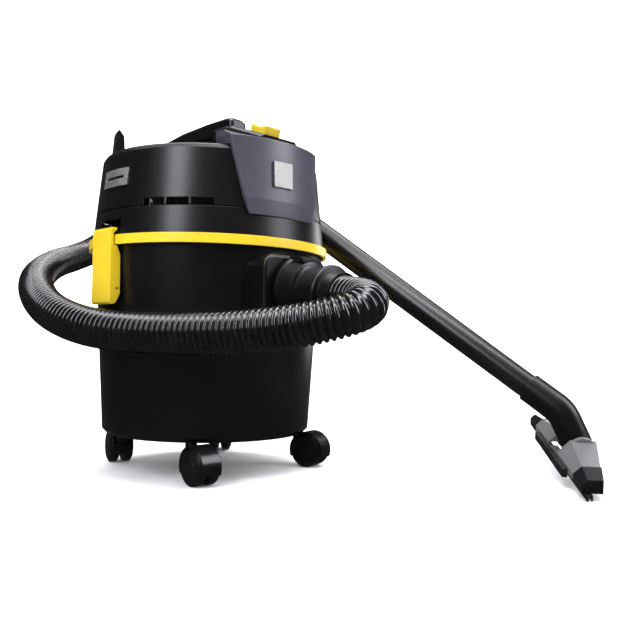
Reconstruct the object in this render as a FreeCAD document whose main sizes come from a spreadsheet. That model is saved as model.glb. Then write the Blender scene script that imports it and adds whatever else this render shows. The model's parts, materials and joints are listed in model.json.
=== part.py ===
"""Shop vacuum with a 10 litre tank, swivel casters, corrugated hose, wand and floor nozzle.

The machine is modelled about the tank's axis, with +Z up, the floor at z = 0 and the front
(panel and hose inlet) facing -Y. Every sub-part is then stood at (machine_x, machine_y), so
that the origin is the middle of the whole outfit's footprint, on the floor.
"""
import FreeCAD, Part
import math
import os

import Sketcher

os.makedirs("parts", exist_ok=True)

DOC = FreeCAD.newDocument("shop_vacuum")
SHEET = DOC.addObject("Spreadsheet::Sheet", "Size")
Vector = FreeCAD.Vector
Rotation = FreeCAD.Rotation
UP = Vector(0, 0, 1)
ORIGIN = Vector(0, 0, 0)

# Driving dimensions, in millimetres and degrees.
SIZES = [
    ("machine_x", -117.5),          # where the tank's axis stands
    ("machine_y", 115.7),
    ("wall", 2.6),                 # moulded shells
    ("tank_foot_z", 42.0),
    ("tank_foot_radius", 119.4),
    ("tank_rim_z", 254.5),
    ("tank_rim_radius", 131.0),
    ("band_radius", 138.0),
    ("band_low", 246.5),
    ("band_high", 256.5),
    ("inlet_z", 200.0),
    ("inlet_reach", 150.0),        # front face of the inlet housing from the axis
    ("inlet_half_width", 44.0),
    ("inlet_bore", 24.0),
    ("cuff_knee", 156.8),          # where the cuff turns down, from the axis
    ("cuff_slope", 6.0),
    ("cuff_length", 61.0),         # of its sloping part
    ("hose_radius", 20.5),
    ("hose_bore", 17.5),
    ("base_low", 257.1),
    ("base_radius", 133.8),
    ("seam_z", 285.0),
    ("seam_radius", 131.2),
    ("cover_top_z", 351.5),
    ("cover_top_radius", 124.8),
    ("cover_crown_z", 357.0),
    ("panel_low", 279.0),
    ("panel_high", 361.0),
    ("panel_top_half", 62.0),      # half widths of the panel's face
    ("panel_low_half", 45.0),
    ("panel_back", 88.0),          # how near to the axis its top reaches
    ("handle_half_width", 12.0),
    ("handle_top", 404.0),
    ("button_y", -95.0),
    ("button_z", 377.5),
    ("button_slope", 20.0),
    ("latch_pivot_z", 200.4),
    ("latch_pivot_radius", 133.1),
    ("latch_half_width", 19.0),
    ("latch_face", 141.5),         # outer face of the latches from the axis
    ("caster_circle", 108.0),      # radius of the circle of the caster stems
    ("caster_trail", 17.0),
    ("caster_wheel_radius", 19.5),
    ("caster_wheel_width", 11.0),
    ("stem_radius", 4.5),
    ("motor_radius", 44.0),
    ("fan_radius", 58.0),
    ("shaft_radius", 4.0),
    ("cage_radius", 39.0),
    ("cage_low", 186.0),
    ("float_radius", 14.0),
    ("wand_heading", -72.0),       # direction in plan, from +X
    ("wand_slope", 35.0),
    ("grip_radius", 19.6),
    ("grip_bore", 16.6),
    ("wand_top_radius", 16.4),
    ("wand_end_radius", 14.9),
    ("wand_bend_x", 268.0),        # corner of the nozzle's elbow, from the tank's axis
    ("wand_bend_y", -313.0),
    ("wand_bend_z", 73.0),
    ("wand_to_bend", 443.0),       # from the wand's top end to that corner
    ("sleeve_length", 46.0),       # of the elbow's upper leg over the wand's end
    ("nozzle_heading", 38.8),
    ("nozzle_x", 263.6),
    ("nozzle_y", -313.1),
    ("nozzle_z", 37.8),
    ("nozzle_half_length", 134.0),
    ("nozzle_pitch", -7.6),        # near end low
    ("hinge_y", -19.4),            # axis of the nozzle's hinge in its own frame
    ("hinge_z", -2.0),
    ("hinge_radius", 12.5),
]

# Casters: angle of the stem from the front, its distance beyond the circle, heading of the trail.
CASTERS = {
    "front_left": (-45, 0, -92),
    "front_right": (53, 1, -74),
    "rear_right": (135, 0, 43),
    "rear_left": (-136, -8, 72),
}

# Angles from the front of the posts and screws that hold the cover to the base.
SCREW_ANGLES = (15, 115, 245, 345)

# Free line of the hose from the cuff round the left side to the hand grip.
HOSE_ROUTE = [
    (0, -217.5, 193.6), (0, -241.7, 191), (-13, -263, 184.5), (-38, -265, 175), (-63, -238, 165),
    (-88, -187, 157), (-115, -127, 154), (-140, -66, 154), (-160, -8, 159), (-168, 50, 173),
    (-158, 112, 193), (-133, 178, 216), (-92, 246, 236), (-43, 311, 255), (2, 352, 268),
    (50, 374, 287), (105, 366, 335), (142, 322, 380), (154, 262, 408), (148.8, 211.6, 407.3),
    (145, 167, 393),
]

for row, (alias, number) in enumerate(SIZES, start=1):
    SHEET.set(f"A{row}", alias)
    SHEET.set(f"B{row}", str(number))
    SHEET.setAlias(f"B{row}", alias)
DOC.recompute()

SUBPARTS = []


def size(alias):
    return float(SHEET.get(alias))


def bind(thing, prop, expression):
    """Drive one property of an object by an expression of the sheet's cells."""
    thing.setExpression(prop, str(expression))


def value(expression):
    return float(SHEET.evalExpression(str(expression)))


def place(thing, at=("0", "0", "0"), rotation=Rotation()):
    """Put an object at a place given by three expressions."""
    thing.Placement = FreeCAD.Placement(ORIGIN, rotation)
    for axis, expression in zip("xyz", at):
        bind(thing, f"Placement.Base.{axis}", expression)
    return thing


def subpart(thing, label, at=("0", "0", "0"), rotation=Rotation()):
    """Name a finished sub-part and stand it with the machine."""
    thing.Label = label
    stand = (f"Size.machine_x + {at[0]}", f"Size.machine_y + {at[1]}", at[2])
    place(thing, stand, rotation)
    SUBPARTS.append(thing)
    return thing


def origin_plane(body, role):
    return [item for item in body.Origin.OriginFeatures if item.Role == role][0]


def outline(body, name, role, points):
    """Closed polygon whose corners are driven by pairs of expressions."""
    sketch = body.newObject("Sketcher::SketchObject", name)
    sketch.AttachmentSupport = (origin_plane(body, role), [""])
    sketch.MapMode = "FlatFace"
    corners = [Vector(value(x), value(y), 0) for x, y in points]
    count = len(corners)
    lines = [Part.LineSegment(corners[i], corners[(i + 1) % count]) for i in range(count)]
    sketch.addGeometry(lines, False)
    for i in range(count):
        sketch.addConstraint(Sketcher.Constraint("Coincident", i, 2, (i + 1) % count, 1))
    for i, (x, y) in enumerate(points):
        across = sketch.addConstraint(Sketcher.Constraint("DistanceX", -1, 1, i, 1, corners[i].x))
        bind(sketch, f"Constraints[{across}]", x)
        along = sketch.addConstraint(Sketcher.Constraint("DistanceY", -1, 1, i, 1, corners[i].y))
        bind(sketch, f"Constraints[{along}]", y)
    return sketch


def revolved(name, points, angle=360, role="XZ_Plane"):
    """Body turned about its vertical axis from an outline of (radius, height)."""
    body = DOC.addObject("PartDesign::Body", name)
    sketch = outline(body, name + "_outline", role, points)
    turn = body.newObject("PartDesign::Revolution", name + "_turn")
    turn.Profile = sketch
    turn.ReferenceAxis = (sketch, ["V_Axis"])
    turn.Angle = angle
    turn.Midplane = angle < 360
    DOC.recompute()
    return body


def padded(name, role, points, length):
    """Body padded both ways from an outline on one of its origin planes."""
    body = DOC.addObject("PartDesign::Body", name)
    sketch = outline(body, name + "_outline", role, points)
    pad = body.newObject("PartDesign::Pad", name + "_pad")
    pad.Profile = sketch
    bind(pad, "Length", length)
    pad.Midplane = True
    DOC.recompute()
    return body


def rounded(body, radius, wanted):
    """Fillet the edges of a body's last feature that wanted(edge) picks."""
    feature = body.Tip
    names = [f"Edge{i}" for i, edge in enumerate(feature.Shape.Edges, start=1) if wanted(edge)]
    if not names:
        raise RuntimeError(f"{body.Name}: no edge to round")
    fillet = body.newObject("PartDesign::Fillet", body.Name + "_round")
    fillet.Base = (feature, names)
    bind(fillet, "Radius", radius)
    DOC.recompute()
    return body


def ring_at(radius, height, slack=0.3):
    """Picks the circular edges about the vertical axis of that radius and height."""
    def wanted(edge):
        box = edge.BoundBox
        return (box.ZLength < slack and abs(box.ZMin - height) < slack
                and isinstance(edge.Curve, Part.Circle)
                and abs(edge.Curve.Radius - radius) < slack)
    return wanted


def box(name, length, width, height, at, rotation=Rotation()):
    """Box whose corner is at a place."""
    thing = DOC.addObject("Part::Box", name)
    bind(thing, "Length", length)
    bind(thing, "Width", width)
    bind(thing, "Height", height)
    return place(thing, at, rotation)


def cylinder(name, radius, height, at=("0", "0", "0"), rotation=Rotation()):
    thing = DOC.addObject("Part::Cylinder", name)
    bind(thing, "Radius", radius)
    bind(thing, "Height", height)
    return place(thing, at, rotation)


def joined(name, things):
    result = DOC.addObject("Part::MultiFuse", name)
    result.Shapes = list(things)
    DOC.recompute()
    return result


def grouped(name, things):
    """Separate solids kept side by side as one object."""
    result = DOC.addObject("Part::Compound", name)
    result.Links = list(things)
    DOC.recompute()
    return result


def cut(name, base, tools):
    tools = list(tools)
    tool = tools[0] if len(tools) == 1 else grouped(name + "_tools", tools)
    result = DOC.addObject("Part::Cut", name)
    result.Base = base
    result.Tool = tool
    base.recompute()
    before = base.Shape.Volume
    DOC.recompute()
    if result.Shape.Volume > before - 1e-3:
        raise RuntimeError(f"{name}: the cut took nothing away")
    return result


def shared(name, first, second):
    """The space that two objects have in common."""
    result = DOC.addObject("Part::Common", name)
    result.Base = first
    result.Tool = second
    DOC.recompute()
    return result


def tube(name, outer, inner, low, high):
    """Upright tube between two heights."""
    return revolved(name, [(inner, low), (outer, low), (outer, high), (inner, high)])


def around(angle, radius):
    """Expressions of the place at an angle from the front, on a circle about the axis."""
    return f"{radius} * sin({angle})", f"-({radius}) * cos({angle})"


def feature(name, shape):
    thing = DOC.addObject("Part::Feature", name)
    thing.Shape = shape
    return thing


def rounded_wire(points, share=0.45):
    """Straight runs joined by tangent arcs, and the radii of those arcs."""
    corners = [Vector(*point) for point in points]
    edges = []
    radii = []
    start = corners[0]
    for before, corner, after in zip(corners, corners[1:], corners[2:]):
        inward = (before - corner).normalize()
        onward = (after - corner).normalize()
        half_turn = (math.pi - inward.getAngle(onward)) / 2
        shorter = min((before - corner).Length, (after - corner).Length)
        reach = share * shorter
        radii.append(reach / math.tan(half_turn))
        first = corner + inward * reach
        last = corner + onward * reach
        bisector = (inward + onward).normalize()
        middle = corner + bisector * (radii[-1] / math.cos(half_turn) - radii[-1])
        edges.append(Part.LineSegment(start, first).toShape())
        edges.append(Part.Arc(first, middle, last).toShape())
        start = last
    edges.append(Part.LineSegment(start, corners[-1]).toShape())
    return Part.Wire(edges), radii


def swept(points, radius, share=0.45):
    """Round bar along a rounded route, its wire and its radii."""
    wire, radii = rounded_wire(points, share)
    start = wire.Edges[0]
    section = Part.Wire(Part.makeCircle(radius, start.valueAt(start.FirstParameter),
                                        start.tangentAt(start.FirstParameter)))
    return wire.makePipeShell([section], True, False), wire, radii


def heading(angle, slope=0):
    """Unit vector with a heading in plan and an angle below the level."""
    across = math.cos(math.radians(slope))
    return Vector(across * math.cos(math.radians(angle)), across * math.sin(math.radians(angle)),
                  -math.sin(math.radians(slope)))


def text_at(vector):
    """A vector as three expressions."""
    return tuple(f"{number:.4f}" for number in vector)


LYING_FRONT = Rotation(Vector(1, 0, 0), 90)      # local +Z turned to -Y
LYING_RIGHT = Rotation(Vector(0, 1, 0), 90)      # local +Z turned to +X


# ---------------------------------------------------------------- tank and its fittings
def tank():
    shell = revolved("tank_shell", [
        ("0", "Size.tank_foot_z"),
        ("Size.tank_foot_radius - 5", "Size.tank_foot_z"),
        ("Size.tank_foot_radius", "Size.tank_foot_z + 5"),
        ("Size.tank_rim_radius", "Size.tank_rim_z - 4.5"),
        ("Size.tank_rim_radius + 3.4", "Size.tank_rim_z - 4.5"),
        ("Size.tank_rim_radius + 3.4", "Size.tank_rim_z - 1.5"),
        ("Size.tank_rim_radius", "Size.tank_rim_z - 1.5"),
        ("Size.tank_rim_radius", "Size.tank_rim_z"),
        ("Size.tank_rim_radius - Size.wall", "Size.tank_rim_z"),
        ("Size.tank_foot_radius - Size.wall", "Size.tank_foot_z + 6"),
        ("Size.tank_foot_radius - 6", "Size.tank_foot_z + Size.wall"),
        ("0", "Size.tank_foot_z + Size.wall"),
    ])
    holes = [cylinder(f"tank_{name}_hole", "Size.stem_radius + 3.6", "10",
                      (*around(angle, f"(Size.caster_circle + {beyond})"), "Size.tank_foot_z - 2"))
             for name, (angle, beyond, _) in CASTERS.items()]
    holes.append(cylinder("tank_inlet_hole", "Size.inlet_bore", "60",
                          ("0", "-100", "Size.inlet_z"), LYING_FRONT))
    subpart(cut("tank_body", shell, holes), "tank")


def rim_band():
    subpart(revolved("band", [
        ("Size.tank_rim_radius + 3.6", "Size.band_low"),
        ("Size.band_radius", "Size.band_low"),
        ("Size.band_radius", "Size.band_high"),
        ("Size.tank_rim_radius + 1.9", "Size.band_high"),
        ("Size.tank_rim_radius + 1.9", "Size.band_high - 2"),
        ("Size.tank_rim_radius + 3.6", "Size.band_high - 2"),
    ]), "rim_band")


def caster_sockets():
    sockets = []
    for name, (angle, beyond, _) in CASTERS.items():
        sleeve = revolved(f"socket_{name}", [
            ("Size.stem_radius + 0.06", "0"),
            ("Size.stem_radius + 3.5", "0"),
            ("Size.stem_radius + 3.5", "38"),
            ("0", "38"),
            ("0", "35"),
            ("Size.stem_radius + 0.06", "35"),
        ])
        sockets.append(place(sleeve, (*around(angle, f"(Size.caster_circle + {beyond})"),
                                      "Size.tank_foot_z")))
    subpart(grouped("sockets", sockets), "caster_sockets")


def inlet_housing():
    """Moulded box on the tank's front that the hose cuff plugs into."""
    top = size("inlet_z") + 37.5
    block = padded("inlet_block", "XZ_Plane", [
        ("-Size.inlet_half_width", "Size.inlet_z - 44"),
        ("Size.inlet_half_width", "Size.inlet_z - 44"),
        ("Size.inlet_half_width", f"{top}"),
        ("-Size.inlet_half_width", f"{top}"),
    ], "2 * Size.inlet_reach")
    rounded(block, "14", lambda edge: edge.BoundBox.YLength > 1 and edge.BoundBox.ZMin > top - 1)
    rounded(block, "3.5", lambda edge: edge.BoundBox.YLength < 0.1 and edge.BoundBox.YMin < 0)
    tank_space = revolved("tank_space", [
        ("0", "Size.tank_foot_z"),
        ("Size.tank_foot_radius", "Size.tank_foot_z + 5"),
        ("Size.tank_rim_radius", "Size.tank_rim_z - 4.5"),
        ("0", "Size.tank_rim_z - 4.5"),
    ])
    behind = box("inlet_behind", "400", "300", "400", ("-200", "0", "0"))
    bore = cylinder("inlet_cuff_bore", "Size.inlet_bore + 0.1", "100",
                    ("0", "-90", "Size.inlet_z"), LYING_FRONT)
    subpart(cut("inlet_box", block, [tank_space, behind, bore]), "inlet_housing")


def inlet_seal():
    """Rubber ring in front of the housing, round the cuff."""
    ring = revolved("seal_ring", [
        ("Size.inlet_bore + 0.2", "0"), ("Size.inlet_bore + 7", "0"),
        ("Size.inlet_bore + 7", "3"), ("Size.inlet_bore + 0.2", "3"),
    ])
    subpart(ring, "inlet_seal", ("0", "-Size.inlet_reach", "Size.inlet_z"), LYING_FRONT)


def inlet_deflector():
    """Hood inside the tank wall that throws the dirt downwards."""
    tube_end = revolved("deflector_tube", [
        ("Size.inlet_bore - 2.6", "0"), ("Size.inlet_bore - 0.4", "0"),
        ("Size.inlet_bore - 0.4", "44"), ("0", "44"), ("0", "42"),
        ("Size.inlet_bore - 2.6", "42"),
    ])
    mouth = box("deflector_mouth", "60", "30", "26", ("-30", "4", "14"))
    subpart(cut("deflector", tube_end, [mouth]), "inlet_deflector",
            ("0", "-125.9", "Size.inlet_z"), Rotation(Vector(1, 0, 0), -90))


def hose_cuff():
    """Stepped swivel cuff: straight spigot and flange, then a sloping ringed sleeve."""
    spigot = revolved("cuff_spigot", [
        ("0", "Size.inlet_reach - 24"),
        ("Size.inlet_bore - 0.05", "Size.inlet_reach - 24"),
        ("Size.inlet_bore - 0.05", "Size.inlet_reach + 3.2"),
        ("35.5", "Size.inlet_reach + 3.2"), ("36", "Size.inlet_reach + 4"),
        ("36", "Size.inlet_reach + 8"), ("33.8", "Size.inlet_reach + 9.5"),
        ("0", "Size.inlet_reach + 9.5"),
    ])
    sleeve = revolved("cuff_sleeve", [
        ("0", "0"), ("33", "0"), ("31.5", "17"), ("29", "18.5"), ("27.5", "20"),
        ("27", "40"), ("29", "41"), ("30", "42"), ("30", "45"), ("29", "46.5"), ("24.5", "47.5"),
        ("23.5", "Size.cuff_length"), ("0", "Size.cuff_length"),
    ])
    place(spigot, ("0", "0", "Size.inlet_z"), LYING_FRONT)
    place(sleeve, ("0", "-Size.cuff_knee", "Size.inlet_z"), cuff_turn())
    straight_bore = cylinder("cuff_straight_bore", "Size.hose_bore + 0.8", "40",
                             ("0", "37 - Size.cuff_knee", "Size.inlet_z"), LYING_FRONT)
    sloping_bore = cylinder("cuff_sloping_bore", "Size.hose_bore", "80",
                            ("0", "-Size.cuff_knee", "Size.inlet_z"), cuff_turn())
    notch = box("cuff_notch", "27", "22", "20", ("-13.5", "-Size.inlet_reach - 23",
                                                "Size.inlet_z + 26"))
    whole = joined("cuff_whole", [spigot, sleeve])
    subpart(cut("cuff_body", whole, [straight_bore, sloping_bore, notch]), "hose_cuff")


def cuff_turn():
    """Local +Z out along the sloping part of the cuff."""
    return Rotation(Vector(1, 0, 0), 90 + size("cuff_slope"))


def cuff_catch():
    """Press button in a notch on the cuff's top that frees it from the housing."""
    tab = padded("catch_tab", "YZ_Plane", [
        ("-Size.inlet_reach - 3.4", "29.4"), ("-Size.inlet_reach - 22.5", "29.4"),
        ("-Size.inlet_reach - 22.5", "32.5"), ("-Size.inlet_reach - 17", "35.2"),
        ("-Size.inlet_reach - 6", "36.4"), ("-Size.inlet_reach - 3.4", "36.2"),
    ], "26")
    subpart(tab, "cuff_catch", ("0", "0", "Size.inlet_z"))


def latch_parts():
    """Two rocking latches with their pins and the brackets on the tank."""
    brackets = []
    pins = []
    for side, name in ((-1, "left"), (1, "right")):
        turn = Rotation(UP, 90 * side)
        lever = padded(f"latch_{name}_lever", "YZ_Plane", [
            ("-135.2", "-15.4"), ("2 - Size.latch_face", "-16.6"), ("-Size.latch_face", "-14.5"),
            ("-Size.latch_face", "59.5"), ("1.8 - Size.latch_face", "63.6"), ("-134.5", "63.6"),
            ("-134.5", "61.2"), ("-136.9", "59.2"), ("-Size.band_radius - 0.4", "57.6"),
            ("-Size.band_radius - 0.4", "45.3"), ("-134.2", "44.8"), ("-130.4", "35"),
            ("-129.9", "-4.5"), ("-132.1", "-10"),
        ], "2 * Size.latch_half_width")
        channel = box(f"latch_{name}_channel", "2 * Size.latch_half_width - 4.8", "40", "68",
                      ("2.4 - Size.latch_half_width", "3.3 - Size.latch_face", "-11.5"))
        bore = cylinder(f"latch_{name}_bore", "1.56", "60",
                        ("-30", "-Size.latch_pivot_radius", "0"), LYING_RIGHT)
        latch = cut(f"latch_{name}_body", lever, [channel, bore])
        subpart(latch, f"latch_{name}", ("0", "0", "Size.latch_pivot_z"), turn)
        pins.append(cylinder(f"latch_{name}_pin", "1.5", "2 * Size.latch_half_width - 1.6",
                             (f"{side} * Size.latch_pivot_radius", "0.8 - Size.latch_half_width",
                              "Size.latch_pivot_z"), Rotation(Vector(1, 0, 0), -90)))
        base = padded(f"bracket_{name}_base", "YZ_Plane", [
            ("-126.4", "-7"), ("-Size.latch_pivot_radius - 2.6", "-3.4"),
            ("-Size.latch_pivot_radius - 2.6", "3.4"), ("-127", "13"),
        ], "2 * Size.latch_half_width - 6")
        hole = cylinder(f"bracket_{name}_hole", "1.5", "60",
                        ("-30", "-Size.latch_pivot_radius", "0"), LYING_RIGHT)
        tank_space = cylinder(f"bracket_{name}_tank", "129.05", "60", ("0", "0", "-30"))
        bracket = cut(f"bracket_{name}", base, [hole, tank_space])
        brackets.append(place(bracket, ("0", "0", "Size.latch_pivot_z"), turn))
    subpart(grouped("pins", pins), "latch_pins")
    subpart(grouped("brackets", brackets), "latch_brackets")


# ---------------------------------------------------------------- casters
def caster(name, angle, beyond, trail_heading):
    """Twin-wheel swivel caster, modelled with its stem at the origin and its trail along +X."""
    at = (*around(angle, f"(Size.caster_circle + {beyond})"), "0")
    turn = Rotation(UP, trail_heading)
    wheel = "Size.caster_wheel_radius"
    width = "Size.caster_wheel_width"
    outer = cylinder(name + "_hood_outer", f"{wheel} + 2.2", f"2 * {width} + 1",
                     ("Size.caster_trail", f"{width} + 0.5", wheel), LYING_FRONT)
    rooms = [cylinder(f"{name}_wheel_room_{i}", f"{wheel} + 0.8", f"{width} + 0.8",
                      ("Size.caster_trail", y, wheel), LYING_FRONT)
             for i, y in enumerate((f"{width} + 3.4", "-2.4"))]
    below = box(name + "_below", "60", "60", "30", ("-8", "-30", f"{wheel} - 30 - 8"))
    shell = cut(name + "_shell", outer, [below])
    hub = cylinder(name + "_hub", "7.5", "4.8", ("Size.caster_trail", "2.4", wheel), LYING_FRONT)
    post = cylinder(name + "_post", "6.2", "17.5", ("0", "0", "24"))
    axle_bore = cylinder(name + "_axle_bore", "2.5", "8",
                         ("Size.caster_trail", "4", wheel), LYING_FRONT)
    stem_bore = cylinder(name + "_stem_bore", "Size.stem_radius", "30", ("0", "0", "34.5"))
    hood = cut(name + "_hood_body", joined(name + "_solid", [shell, hub, post]),
               [*rooms, axle_bore, stem_bore])
    subpart(hood, name + "_hood", at, turn)

    stem = cylinder(name + "_stem", "Size.stem_radius", "41", ("0", "0", "34.5"))
    axle = cylinder(name + "_axle", "2.5", f"2 * {width} + 5",
                    ("Size.caster_trail", f"{width} + 2.5", wheel), LYING_FRONT)
    subpart(grouped(name + "_steel", [stem, axle]), name + "_stem_axle", at, turn)

    discs = []
    for i, side in enumerate((1, -1)):
        disc = revolved(f"{name}_disc_{i}", [
            ("2.55", "2.8"), (f"{wheel} - 1.5", "2.8"), (wheel, "4.3"),
            (wheel, f"{width} + 0.4"), (f"{wheel} - 3.5", f"{width} + 2.7"),
            ("9", f"{width} + 1.6"), ("7", f"{width} + 3"), ("0", f"{width} + 3"),
            ("0", f"{width} + 2.6"), ("2.55", f"{width} + 2.6"),
        ])
        discs.append(place(disc, ("Size.caster_trail", "0", wheel),
                           Rotation(Vector(1, 0, 0), -90 * side)))
    subpart(grouped(name + "_discs", discs), name + "_wheels", at, turn)


# ---------------------------------------------------------------- head
def head_base():
    pan = revolved("base_pan", [
        ("Size.base_radius", "Size.base_low"),
        ("Size.seam_radius", "Size.seam_z"),
        ("Size.seam_radius - Size.wall", "Size.seam_z"),
        ("Size.base_radius - Size.wall", "Size.base_low + Size.wall"),
        ("26", "Size.base_low + Size.wall"),
        ("26", "Size.base_low"),
        ("121.8", "Size.base_low"),
        ("121.8", "Size.base_low - 11"),
        ("124.4", "Size.base_low - 11"),
        ("124.4", "Size.base_low"),
    ])
    hooks = [box(f"base_hook_slot_{i}", "12", "39", "13", (x, "-19.5", "Size.base_low + 4"))
             for i, x in enumerate(("-Size.base_radius - 3", "Size.base_radius - 9"))]
    screws = [cylinder(f"base_screw_hole_{angle}", "2.1", "12",
                       (*around(angle, "108"), "Size.base_low - 3")) for angle in SCREW_ANGLES]
    subpart(cut("base_body", pan, [*hooks, *screws]), "head_base")


def head_gasket():
    subpart(tube("gasket", "Size.tank_rim_radius + 1.4", "Size.tank_rim_radius - 4",
                 "Size.tank_rim_z + 0.1", "Size.base_low"), "head_gasket")


def cover_radius(height):
    """Expression of the cover's outer radius at a height."""
    fall = "(Size.seam_radius - Size.cover_top_radius) / (Size.cover_top_z - 5 - Size.seam_z)"
    return f"(Size.seam_radius - ({height} - Size.seam_z) * {fall})"


def head_cover():
    low = "Size.seam_z + 1.2"
    shell = revolved("cover_shell", [
        (cover_radius(low), low),
        ("Size.cover_top_radius", "Size.cover_top_z - 5"),
        ("Size.cover_top_radius - 3", "Size.cover_top_z"),
        ("60", "Size.cover_crown_z - 1"), ("0", "Size.cover_crown_z"),
        ("0", "Size.cover_crown_z - Size.wall"), ("60", "Size.cover_crown_z - 1 - Size.wall"),
        ("Size.cover_top_radius - 5", "Size.cover_top_z - Size.wall"),
        ("Size.cover_top_radius - Size.wall", "Size.cover_top_z - 6"),
        (f"{cover_radius(low)} - Size.wall", low),
    ])
    rounded(shell, "3.5", ring_at(size("cover_top_radius") - 3, size("cover_top_z")))
    posts = [cylinder(f"cover_post_{angle}", "6", "88",
                      (*around(angle, "108"), "Size.base_low + Size.wall"))
             for angle in SCREW_ANGLES]
    bores = [cylinder(f"cover_post_bore_{angle}", "2.05", "20",
                      (*around(angle, "108"), "Size.base_low")) for angle in SCREW_ANGLES]
    vents = []
    for side in (-1, 1):
        for i in range(3):
            angle = side * (40.6 + 11.4 * i)
            vents.append(box(f"cover_vent_{i}_{side + 1}", "23.6", "16", "8.4",
                             (f"0 - 11.8 * cos({angle}) + 137 * sin({angle})",
                              f"0 - 11.8 * sin({angle}) - 137 * cos({angle})", "Size.seam_z"),
                             Rotation(UP, angle)))
    port = cylinder("cover_port_hole", "21", "40", ("0", "90", "322"),
                    Rotation(Vector(1, 0, 0), -90))
    gland = cylinder("cover_gland_hole", "6", "40", (*around(150, "100"), "306"),
                     Rotation(UP, 150) * LYING_FRONT)
    solid = joined("cover_solid", [shell, *posts])
    subpart(cut("cover_body", solid, [*bores, *vents, port, gland]), "head_cover")


def panel_levels(inset):
    """Heights of the panel's outline with half width and reaches at the edge and the middle."""
    top, low = size("panel_top_half"), size("panel_low_half")
    return [
        (size("panel_low") + inset, low - inset, 126.5 - inset, 132.9 - inset),
        (296, low + 5.5 - inset, 125.0 - inset, 133.4 - inset),
        (size("panel_high") - inset / 2, top - inset, 112.6 - inset, 130.0 - inset),
        (size("panel_high") + 6.5 - inset, top - 1 - inset, 101.0 - inset, 103.5 - inset),
    ]


def panel_block(inset):
    """Solid shield of the front panel, drawn in by an inset, with a gently curved face."""
    back = -size("panel_back")
    wires = []
    for height, half, edge, middle in panel_levels(inset):
        corners = [Vector(half, back, height), Vector(half, -edge, height),
                   Vector(-half, -edge, height), Vector(-half, back, height)]
        face = Part.Arc(corners[1], Vector(0, -middle, height), corners[2]).toShape()
        wires.append(Part.Wire([Part.makeLine(corners[0], corners[1]), face,
                                Part.makeLine(corners[2], corners[3]),
                                Part.makeLine(corners[3], corners[0])]))
    return Part.makeLoft(wires, True, True)


def front_panel():
    """Shell over the front of the cover, open at its back."""
    clear = 0.4
    low = size("seam_z")
    hidden = Part.makeCone(size("base_radius") + clear, size("cover_top_radius") + 2 * clear,
                           size("cover_top_z") - size("base_low"),
                           Vector(0, 0, size("base_low")))
    crown = Part.makeCone(size("cover_top_radius") + 2 * clear, 60, 6,
                          Vector(0, 0, size("cover_top_z")))
    inside = Part.makeCylinder(size("cover_top_radius") - 24, 200, Vector(0, 0, low - 50))
    over = Part.makeCylinder(200, 20, Vector(0, 0, size("cover_top_z")))
    shell = panel_block(0).cut(panel_block(size("wall")))
    shell = shell.cut(hidden).cut(crown)
    shell = shell.cut(inside.cut(over)).cut(DOC.getObject("console_deck").Shape)
    solids = sorted(shell.Solids, key=lambda solid: solid.Volume)
    subpart(feature("panel", solids[-1]), "front_panel")


def badge():
    plate = box("badge_plate", "25", "1.6", "27.5", ("-12.5", "-1.6", "-13.7"))
    rim = DOC.addObject("Part::Fillet", "badge_rim")
    rim.Base = plate
    DOC.recompute()
    edges = [i for i, edge in enumerate(plate.Shape.Edges, start=1)
             if edge.BoundBox.YLength > 1 and edge.BoundBox.ZLength < 0.1]
    rim.Edges = [(i, 1.2, 1.2) for i in edges]
    DOC.recompute()
    subpart(rim, "badge", ("-6", "-132.3", "324"), Rotation(UP, -2.6) * Rotation(Vector(1, 0, 0), -3))


def side_plates():
    """Curved trim plates on both sides of the cover, each with a slot across it."""
    plates = []
    low, high = "309.5", "328.5"
    for name, side in (("left", -1), ("right", 1)):
        plate = revolved(f"side_plate_{name}", [
            (f"{cover_radius(low)} + 0.1", low), (f"{cover_radius(low)} + 1.6", low),
            (f"{cover_radius(high)} + 1.6", high), (f"{cover_radius(high)} + 0.1", high),
        ], angle=20.4)
        slot = box(f"side_plate_{name}_slot", "20", "34", "3", ("120", "-17", "317.6"))
        plates.append(place(cut(f"side_plate_{name}_cut", plate, [slot]),
                            rotation=Rotation(UP, 90 - 90.5 * side)))
    subpart(grouped("plates", plates), "side_plates")


def switch_console():
    """Sloping deck between the front panel and the handle, with the button's pocket."""
    deck = padded("console_deck", "YZ_Plane", [
        ("-112", "Size.cover_crown_z + 1"), ("-121", "367"), ("-66", "387"), ("-56", "388.5"),
        ("-36", "388.5"), ("-32", "Size.cover_crown_z + 1"),
    ], "52")
    rounded(deck, "6", lambda edge: edge.BoundBox.XLength < 0.1 and edge.BoundBox.ZMin > 364
            and edge.BoundBox.YLength > 1)
    slope = Rotation(Vector(1, 0, 0), size("button_slope"))
    corner = ("-11.5",
              "Size.button_y - 15.5 * cos(Size.button_slope) + 15 * sin(Size.button_slope)",
              "Size.button_z - 15.5 * sin(Size.button_slope) - 15 * cos(Size.button_slope)")
    pocket = box("console_pocket", "23", "31", "40", corner, slope)
    subpart(cut("console_body", deck, [pocket]), "switch_console")


def power_button():
    """Rocker, modelled about its pivot."""
    block = padded("button_block", "YZ_Plane", [
        ("-12.5", "-5"), ("12.5", "-5"), ("13", "7"), ("4", "5.6"), ("-4", "5.6"), ("-13", "9"),
    ], "21")
    rounded(block, "1.2", lambda edge: edge.BoundBox.ZMin > 5)
    subpart(block, "power_button", ("0", "Size.button_y", "Size.button_z"),
            Rotation(Vector(1, 0, 0), size("button_slope")))


def switch_body():
    subpart(box("switch_box", "20", "26", "12", ("-10", "-13", "0")), "switch_body",
            ("0", "Size.button_y + 4", "Size.cover_crown_z - 22"))


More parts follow.
